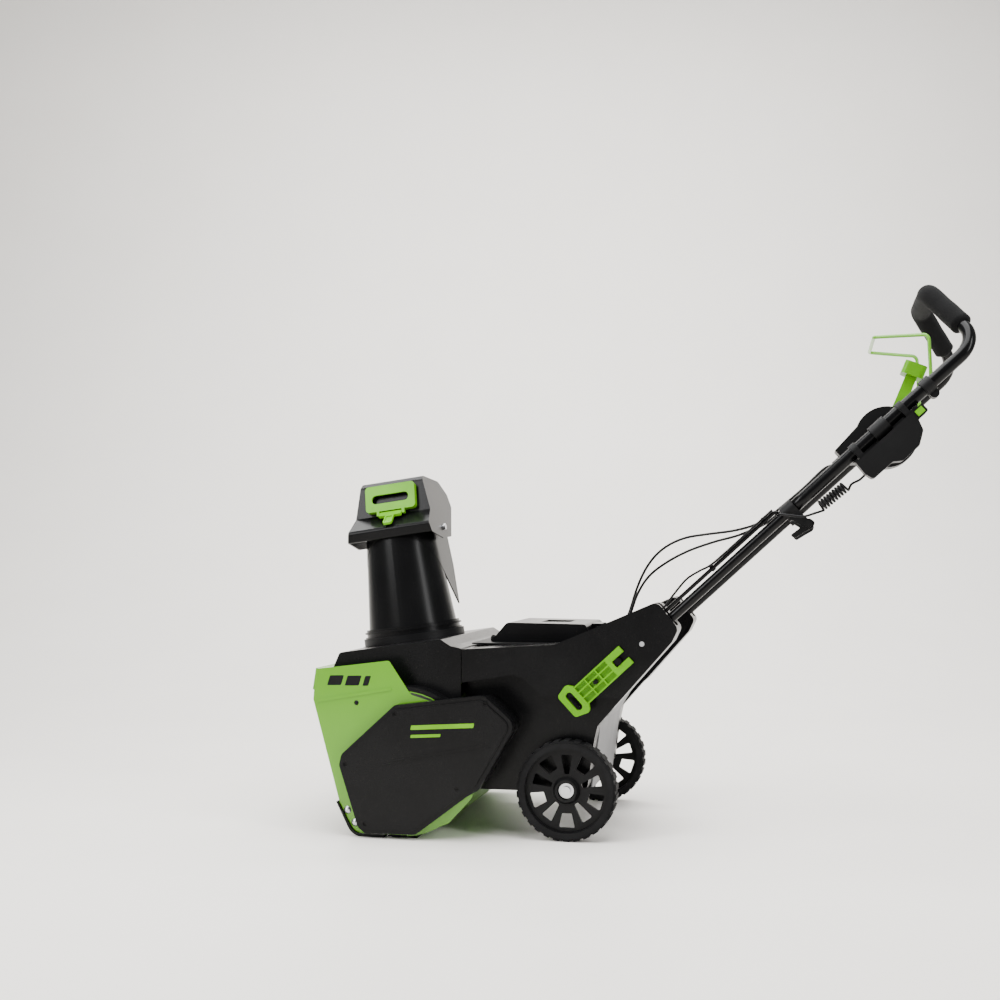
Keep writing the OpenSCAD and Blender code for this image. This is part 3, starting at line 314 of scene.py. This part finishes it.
# Colours are linear red, green and blue.
GREEN = (0.098, 0.305, 0.0028)
BLACK = (0.0024, 0.0024, 0.0026)
finish = {
    "green_metal": painted("green_metal", GREEN, 0.26),
    "green_plastic": moulded("green_plastic", (0.090, 0.285, 0.0026), 0.32, 700.0, 0.00005),
    "green_wire": painted("green_wire", (0.12, 0.38, 0.004), 0.30),
    "black_plastic": moulded("black_plastic", BLACK, 0.46, 800.0, 0.00011),
    "shell_plastic": moulded("shell_plastic", (0.0020, 0.0020, 0.0022), 0.27, 800.0, 0.00004, 0.06, 0.15),
    "gloss_black": moulded("gloss_black", (0.0016, 0.0016, 0.0018), 0.26, 500.0, 0.00002, 0.04, 0.14),
    "black_paint": painted("black_paint", (0.0016, 0.0016, 0.0018), 0.22, 0.00004, 0.12, 0.06),
    "steel": metal("steel", (0.66, 0.67, 0.69), 0.30),
    "motor_metal": metal("motor_metal", (0.42, 0.43, 0.45), 0.45, scale=120.0),
    "tyre": rubber("tyre", (0.0034, 0.0034, 0.0037)),
    "paddle_rubber": rubber("paddle_rubber", (0.010, 0.010, 0.0107), 0.62, 500.0),
    "cord": rubber("cord", (0.0035, 0.0035, 0.0038), 0.42, 1500.0),
    "foam": foam("foam", (0.0032, 0.0032, 0.0034)),
    "grey_plastic": moulded("grey_plastic", (0.052, 0.053, 0.056), 0.5, 700.0, 0.0001),
    "pale_grey": moulded("pale_grey", (0.20, 0.20, 0.205), 0.55, 300.0, 0.0001),
    "mark_green": moulded("mark_green", (0.115, 0.32, 0.004), 0.4, 600.0, 0.00002),
    "mark_black": moulded("mark_black", (0.0025, 0.0025, 0.0027), 0.35, 600.0, 0.00002),
    "line_grey": moulded("line_grey", (0.05, 0.05, 0.052), 0.30, 600.0, 0.00003),
}
print(len(finish), "finishes")

# %% [markdown]
# ## Dress the CAD pieces
# Each CAD piece takes the finish of its material slot.  A narrow bevel rounds its edges, because
# a real moulded or folded edge always returns a thin highlight.

# %% Assign finishes and soften the edges
SPECIAL = {
    "front_shroud": "shell_plastic",
    "left_side_shell": "shell_plastic",
    "right_side_shell": "shell_plastic",
    "belt_cover": "shell_plastic",
    "rear_panel": "pale_grey",
    "chute_ring": "shell_plastic",
}
BEVEL = 0.0007
BEVEL_FOR = {
    "left_side_shell": 0.003,
    "right_side_shell": 0.003,
    "front_shroud": 0.004,
    "belt_cover": 0.002,
    "battery_lid": 0.002,
    "left_side_plate": 0.0006,
    "right_side_plate": 0.0006,
    "cleanout_tool": 0.0012,
    "chute_lever": 0.002,
    "switch_box": 0.002,
}
SWEPT = {"auger_paddles", "upper_handle", "stay_rod"}


def round_edges(piece, width, angle=32.0):
    """A two-step bevel on every edge sharper than the angle in degrees."""
    bevel = piece.modifiers.new("soft edges", "BEVEL")
    bevel.width = width
    bevel.segments = 2
    bevel.limit_method = "ANGLE"
    bevel.angle_limit = math.radians(angle)
    bevel.use_clamp_overlap = True
    bevel.harden_normals = False


slot_of = {s["node"]: s["material_slot"] for s in frame["record"]["subparts"]}
for name, piece in nodes.items():
    look = finish[SPECIAL.get(name, slot_of[name])]
    piece.data.materials.clear()
    piece.data.materials.append(look)
    if name not in SWEPT:
        round_edges(piece, BEVEL_FOR.get(name, BEVEL))
print("dressed", len(nodes), "CAD pieces")

# %% [markdown]
# ## Swept and lofted surfaces
# Everything below is computed with whole arrays: a path, a frame that doesn't twist along it, and
# a ring at each step.


# %% Make surfaces from rings of points
def smooth_path(points, count):
    """An even, smooth curve through points."""
    points = np.asarray(points, float)
    ends = np.vstack([2 * points[0] - points[1], points, 2 * points[-1] - points[-2]])
    where = np.linspace(0, len(points) - 1 - 1e-9, count * 4)
    i = where.astype(int)
    t = (where - i)[:, None]
    a, b, c, d = ends[i], ends[i + 1], ends[i + 2], ends[i + 3]
    curve = 0.5 * (2 * b + (c - a) * t + (2 * a - 5 * b + 4 * c - d) * t**2 + (3 * b - a - 3 * c + d) * t**3)
    run = np.concatenate([[0], np.cumsum(np.linalg.norm(np.diff(curve, axis=0), axis=1))])
    even = np.linspace(0, run[-1], count)
    return np.stack([np.interp(even, run, curve[:, k]) for k in range(3)], 1)


def ring_frames(path):
    """Two unit vectors across the path at each point, carried along without twist."""
    ahead = np.gradient(path, axis=0)
    ahead /= np.linalg.norm(ahead, axis=1)[:, None]
    start = np.cross(ahead[0], [0.31, 0.93, 0.17])
    side = np.empty_like(path)
    side[0] = start / np.linalg.norm(start)
    for k in range(1, len(path)):
        s = side[k - 1] - ahead[k] * (side[k - 1] @ ahead[k])
        side[k] = s / np.linalg.norm(s)
    return side, np.cross(ahead, side)


def grid_faces(rings, around, closed=True):
    """Quads between neighbouring rings; vertex j of ring i is number i times around, plus j."""
    i, j = np.meshgrid(np.arange(rings - 1), np.arange(around if closed else around - 1), indexing="ij")
    k = (j + 1) % around
    quads = np.stack([i * around + j, i * around + k, (i + 1) * around + k, (i + 1) * around + j], -1)
    return quads.reshape(-1, 4).tolist()


def piece_from(name, verts, faces, look, body, replaced=(), smooth=True):
    """A named mesh that rides on a body; given a tuple (a, b, start, end), whose parts are not used, it rides on
    no body and stays where it is.
    """
    mesh = bpy.data.meshes.new(name)
    mesh.from_pydata(np.asarray(verts, float).tolist(), [], faces)
    mesh.update()
    mesh.polygons.foreach_set("use_smooth", np.full(len(mesh.polygons), smooth))
    piece = bpy.data.objects.new(name, mesh)
    mesh.materials.append(finish[look])
    bpy.context.scene.collection.objects.link(piece)
    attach(piece, body) if isinstance(body, str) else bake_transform(piece)
    if replaced:
        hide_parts(*replaced)
    return piece


def tube(path, radius, sides=20, round_ends=False):
    """Vertices and faces of a closed tube; radius is one number or one for each point."""
    path = np.asarray(path, float)
    radius = np.broadcast_to(np.asarray(radius, float), len(path))
    u, v = ring_frames(path)
    turn = np.linspace(0, 2 * np.pi, sides, endpoint=False)
    ring = np.cos(turn)[None, :, None] * u[:, None] + np.sin(turn)[None, :, None] * v[:, None]
    verts = (path[:, None] + radius[:, None, None] * ring).reshape(-1, 3)
    faces = grid_faces(len(path), sides)
    faces.append(list(range(sides))[::-1])
    faces.append([(len(path) - 1) * sides + k for k in range(sides)])
    return verts, faces


def bent_path(points, bends, steps=10):
    """Straight runs with round corners, as points."""
    points = np.asarray(points, float)
    out = [points[0]]
    for k in range(1, len(points) - 1):
        u = points[k - 1] - points[k]
        w = points[k + 1] - points[k]
        u, w = u / np.linalg.norm(u), w / np.linalg.norm(w)
        half = math.acos(float(np.clip(u @ w, -1, 1))) / 2
        middle = points[k] + (u + w) / np.linalg.norm(u + w) * bends[k] / math.sin(half)
        s = points[k] + u * bends[k] / math.tan(half) - middle
        e = points[k] + w * bends[k] / math.tan(half) - middle
        turn = math.pi - 2 * half
        q = np.linspace(0, 1, steps)[:, None]
        out.extend(middle + (s * np.sin(turn * (1 - q)) + e * np.sin(turn * q)) / math.sin(turn))
    out.append(points[-1])
    return np.array(out)


def fill_straights(path, gap):
    """Adds points on long straight runs, so a bend deforms evenly."""
    out = [path[0]]
    for a, b in zip(path[:-1], path[1:]):
        n = max(1, int(np.ceil(np.linalg.norm(b - a) / gap)))
        out.extend(a + (b - a) * (k / n) for k in range(1, n + 1))
    return np.array(out)


def both_ways(points):
    """A path and its mirror image across x = 0, joined in the middle."""
    points = np.asarray(points, float)
    return np.vstack([points, points[::-1] * [-1, 1, 1]])


# %% [markdown]
# ## Handle, foam and bail
# The upper handle is one bent tube; its crossbar wears a foam sleeve with softly rolled ends.
# The tube could be drawn with its bore, but only its outside shows, so it is drawn solid here
# and the lower tubes run inside it.

# %% Bend the upper handle, its foam and the bail
TUBE_X = 206.0
JOIN = 374.0
CORNER = JOIN + 488.0
TUBE_R = 12.7 * MM
GRIP = (100.0, CORNER + 14.0, 136.0)
loop = both_ways([on_handle(TUBE_X, JOIN, 0), on_handle(TUBE_X, CORNER, 0), on_handle(*GRIP)])
BEND = 50 * MM
GRIP_BEND = 34 * MM
loop_path = bent_path(loop, [0, BEND, GRIP_BEND, GRIP_BEND, BEND, 0], 14)
piece_from("handle_tube", *tube(fill_straights(loop_path, 0.05), TUBE_R, 40), "black_paint",
           "upper_handle_body", ["upper_handle"])


def part_way(a, b, d):
    """The point d metres from a towards b."""
    return a + (b - a) / np.linalg.norm(b - a) * d


FOAM_R = 20.5 * MM
grip_line = both_ways([part_way(loop[1], loop[2], BEND + 2 * MM), loop[2]])
grip_path = fill_straights(bent_path(grip_line, [0, GRIP_BEND, GRIP_BEND, 0], 14), 0.006)
from_end = np.minimum(np.arange(len(grip_path)), np.arange(len(grip_path))[::-1])
run = np.concatenate([[0], np.cumsum(np.linalg.norm(np.diff(grip_path, axis=0), axis=1))])
end_gap = np.minimum(run, run[-1] - run)
ROLL = 6 * MM
rolled = FOAM_R - ROLL * (1 - np.sqrt(1 - (1 - np.clip(end_gap / ROLL, 0, 1)) ** 2))
lumps = 0.25 * MM * np.sin(run * 61) + 0.18 * MM * np.sin(run * 143 + 1.0)
grip = piece_from("foam_sleeve", *tube(grip_path, rolled + lumps, 48), "foam", "upper_handle_body",
                  ["foam_grip"])

BAIL_T = CORNER - 125.0
BAIL_P = -19.0
bail_points = both_ways([on_handle(TUBE_X - 3, BAIL_T, BAIL_P), on_handle(150, BAIL_T, BAIL_P),
                         on_handle(150, BAIL_T + 77, 74), on_handle(106, BAIL_T + 6, 146)])
bail_bends = [0] + [12 * MM] * 6 + [0]
bail_path = fill_straights(bent_path(bail_points, bail_bends, 8), 0.04)
piece_from("bail_wire", *tube(bail_path, 3.55 * MM, 20), "green_wire", "bail_body", ["bail"])
print("handle tube of", len(loop_path), "steps")

# %% [markdown]
# ## Cables and cords
# Two cables run from the turret to the chute control.  Each hangs in a slack arc from the body to
# a clip on the handle, then follows the tube.  Each is two pieces that meet at the clip.

# %% Run the cables
CABLE_R = 2.6 * MM
FRONT_ROUTE = [(70, 56, 389.5), (72, 64, 402), (78, 88, 422), (84, 104, 448), (92, 122, 501),
               (98, 140, 540), (104, 162, 570), (112, 190, 592), (122, 226, 607), (136, 270, 614),
               (152, 320, 620), (172, 356, 628), (180, 388, 640), (174, 420, 668), (140, 462, 706),
               (112, 500, 744)]
REAR_ROUTE = [(84, 56, 389.5), (86, 66, 402), (92, 90, 422), (98, 108, 446), (106, 126, 492),
              (112, 150, 528), (120, 186, 556), (130, 232, 580), (144, 284, 598), (160, 330, 610),
              (176, 362, 622), (188, 392, 636), (180, 426, 666), (132, 466, 704), (96, 502, 744)]
CLIP = 12
for label, route, x_end in (("front", FRONT_ROUTE, 108), ("rear", REAR_ROUTE, 92)):
    places = [from_axle(*p) for p in route] + [on_handle(x_end, CORNER - 349.5, 13)]
    low = smooth_path(places[: CLIP + 1], 70)
    high = smooth_path(places[CLIP:], 34)
    look = "cord"
    piece_from(f"{label}_cable_low", *tube(low, CABLE_R, 12), look,
               ("chassis", "lower_handle", tuple(low[6]), tuple(low[-4])), [f"{label}_chute_cable"])
    piece_from(f"{label}_cable_high", *tube(high, CABLE_R, 12), look,
               ("lower_handle", "upper_handle_body", tuple(high[1]), tuple(high[-3])))

lead_line = [(30, 21), (80, 27), (112, 33), (150, 38), (180, 33), (202, 27), (240, 25.5), (330, 25.5),
             (364, 25.5)]
lead = smooth_path([on_handle(TUBE_X + 9, t, p - 2) for t, p in lead_line], 60)
piece_from("body_lead_run", *tube(lead, 2.2 * MM, 12), "cord",
           ("chassis", "lower_handle", tuple(lead[1]), tuple(lead[16])), ["body_lead"])

COIL_FROM = on_handle(TUBE_X, JOIN + 62, -34)
COIL_TO = on_handle(TUBE_X, JOIN + 122, -37)
TURNS = 9
COIL_WIRE = 2.4 * MM
COIL_R = 12 * MM - COIL_WIRE
coil_axis = (COIL_TO - COIL_FROM) / np.linalg.norm(COIL_TO - COIL_FROM)
across = np.array([1.0, 0, 0])
over = np.cross(coil_axis, across)
q = np.linspace(0, 1, TURNS * 22)
angle = 2 * np.pi * TURNS * q + np.pi / 2
helix = (COIL_FROM + (COIL_TO - COIL_FROM) * q[:, None]
         + COIL_R * (np.cos(angle)[:, None] * across + np.sin(angle)[:, None] * over))
entry = [on_handle(TUBE_X + 24, JOIN - 6, 8), on_handle(TUBE_X + 25, JOIN + 8, -8),
         on_handle(TUBE_X + 24, JOIN + 24, -26), on_handle(TUBE_X + 14, JOIN + 44, -36), helix[0]]
leave = [helix[-1], on_handle(TUBE_X + 2, JOIN + 134, -42), on_handle(TUBE_X, JOIN + 150, -46),
         on_handle(TUBE_X, CORNER - 324.5, -46)]
coil_path = np.vstack([smooth_path(entry, 26)[:-1], helix, smooth_path(leave, 22)[1:]])
piece_from("coiled_cord", *tube(coil_path, COIL_WIRE, 12), "cord",
           ("lower_handle", "upper_handle_body", tuple(helix[0]), tuple(helix[-1])), ["coil_cord"])
print("coil of", TURNS, "turns")

# %% [markdown]
# ## Plain marks
# A real machine carries printed marks.  Here they are plain slanted bars: they keep the rhythm of
# colour on the flank and say nothing.  Each is a thin raised film with rounded corners.

# %% Lay the marks
FILM = 0.35 * MM


def slanted_bar(y, z, width, height, lean, radius, steps=5):
    """Outline of a bar with round corners, leaning back by lean; y and z are its low front corner."""
    radius = min(radius, height / 2 - 0.0001)
    corners = [(radius, radius, 180), (width - radius, radius, 270),
               (width - radius, height - radius, 0), (radius, height - radius, 90)]
    out = []
    for cy, cz, start in corners:
        a = np.radians(np.linspace(start, start + 90, steps))
        out.append(np.c_[cy + radius * np.cos(a), cz + radius * np.sin(a)])
    out = np.vstack(out)
    out[:, 0] += out[:, 1] * lean
    return out + [y, z]


def film(name, x, outline, look, body="chassis", tilt=0.0):
    """A thin film on a face at x, its outline in the yz plane."""
    n = len(outline)
    middle = outline.mean(0)  # the outline turns about its middle
    turned = outline - middle
    c, s = math.cos(tilt), math.sin(tilt)
    turned = np.c_[turned[:, 0] * c - turned[:, 1] * s, turned[:, 0] * s + turned[:, 1] * c] + middle
    shrink = middle + (turned - middle) * 0.985
    verts = np.vstack([np.c_[np.full(n, x - 0.0002), turned], np.c_[np.full(n, x + FILM * 0.6), turned],
                       np.c_[np.full(n, x + FILM), shrink]])
    faces = grid_faces(3, n)
    faces.append(list(range(n))[::-1])
    faces.append([2 * n + k for k in range(n)])
    return piece_from(name, verts, faces, look, body, smooth=False)


cover_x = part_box("belt_cover")[1].x - 1.2 * MM
plate_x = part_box("left_side_plate")[1].x - 1.6 * MM
film("cover_bar_long", cover_x, slanted_bar(-0.437, 0.226, 0.130, 0.009, 0.25, 0.0015), "mark_green",
     tilt=0.06)
film("cover_bar_short", cover_x, slanted_bar(-0.437, 0.208, 0.062, 0.006, 0.25, 0.0015), "mark_green",
     tilt=0.06)
for k, width in enumerate((0.030, 0.030, 0.012)):
    film(f"plate_bar_{k}", plate_x, slanted_bar(-0.622 + 0.038 * k, 0.306, width, 0.020, 0.35, 0.002),
         "mark_black", tilt=0.03)
print("marks laid")

# %% [markdown]
# ## Studio
# A pale sweep and large soft lamps: one overhead, one at the front of the flank, one narrow one
# from the rear, and one that brightens the backdrop.

# %% Build the studio
FLOOR_SIZE = 16.0
BACK_START = 1.7
BACK_R = 3.2
WALL_TOP = 7.0
rise = np.linspace(0, math.pi / 2, 40)
rows = np.vstack([[-9.0, 0.0], np.c_[BACK_START + BACK_R * np.sin(rise), BACK_R * (1 - np.cos(rise))],
                  [BACK_START + BACK_R, WALL_TOP]])
wide = np.array([-FLOOR_SIZE / 2, FLOOR_SIZE / 2])
away = np.array([LOOK.x, LOOK.y])
side_way = np.array([-LOOK.y, LOOK.x])
ground = np.array([CENTRE.x, CENTRE.y])
floor_points = np.array([[*(ground + away * r + side_way * w), z] for r, z in rows for w in wide])
floor_shade = Shade("studio_floor", Specular_IOR_Level=0.22)
speckle = floor_shade.noise(3.0, 3.0)
floor_shade.colour(speckle.step(0.2, 0.8), (0.90, 0.868, 0.818), (0.92, 0.888, 0.838))
floor_shade.feed("Roughness", speckle * 0.08 + 0.42)
finish["studio_floor"] = floor_shade.material
floor_mesh = bpy.data.meshes.new("floor")
floor_mesh.from_pydata(floor_points.tolist(), [], grid_faces(len(rows), 2, closed=False))
floor_mesh.polygons.foreach_set("use_smooth", np.full(len(floor_mesh.polygons), True))
floor_mesh.materials.append(finish["studio_floor"])
floor = bpy.data.objects.new("floor", floor_mesh)
bpy.context.scene.collection.objects.link(floor)


def lamp(name, place, target, width, height, power):
    """A soft rectangular lamp, width by height metres, that faces its target."""
    data = bpy.data.lights.new(name, "AREA")
    data.shape = "RECTANGLE"
    data.size = width
    data.size_y = height
    data.energy = power
    lamp_object = bpy.data.objects.new(name, data)
    lamp_object.location = place
    lamp_object.rotation_mode = "QUATERNION"
    lamp_object.rotation_quaternion = (Vector(target) - Vector(place)).to_track_quat("-Z", "Y")
    bpy.context.scene.collection.objects.link(lamp_object)


world = bpy.data.worlds.new("studio")
bpy.context.scene.world = world
world.use_nodes = True
sky = world.node_tree.nodes["Background"]
sky.inputs["Color"].default_value = (0.97, 0.98, 1.0, 1)
sky.inputs["Strength"].default_value = 0.45
back = CENTRE + LOOK * 2.2
lamp("overhead", (0.5, -0.1, 3.2), (0, 0, 0.3), 2.6, 2.6, 210)
lamp("flank", (2.4, -2.0, 2.0), (0, -0.1, 0.4), 0.9, 1.8, 80)
lamp("rear", (1.6, 2.8, 1.9), (0, 0.2, 0.5), 0.6, 2.2, 60)
lamp("backdrop", (back.x, back.y, 3.6), (back.x + LOOK.x * 1.4, back.y + LOOK.y * 1.4, 0.6), 4.6, 1.4, 230)
print("studio ready")
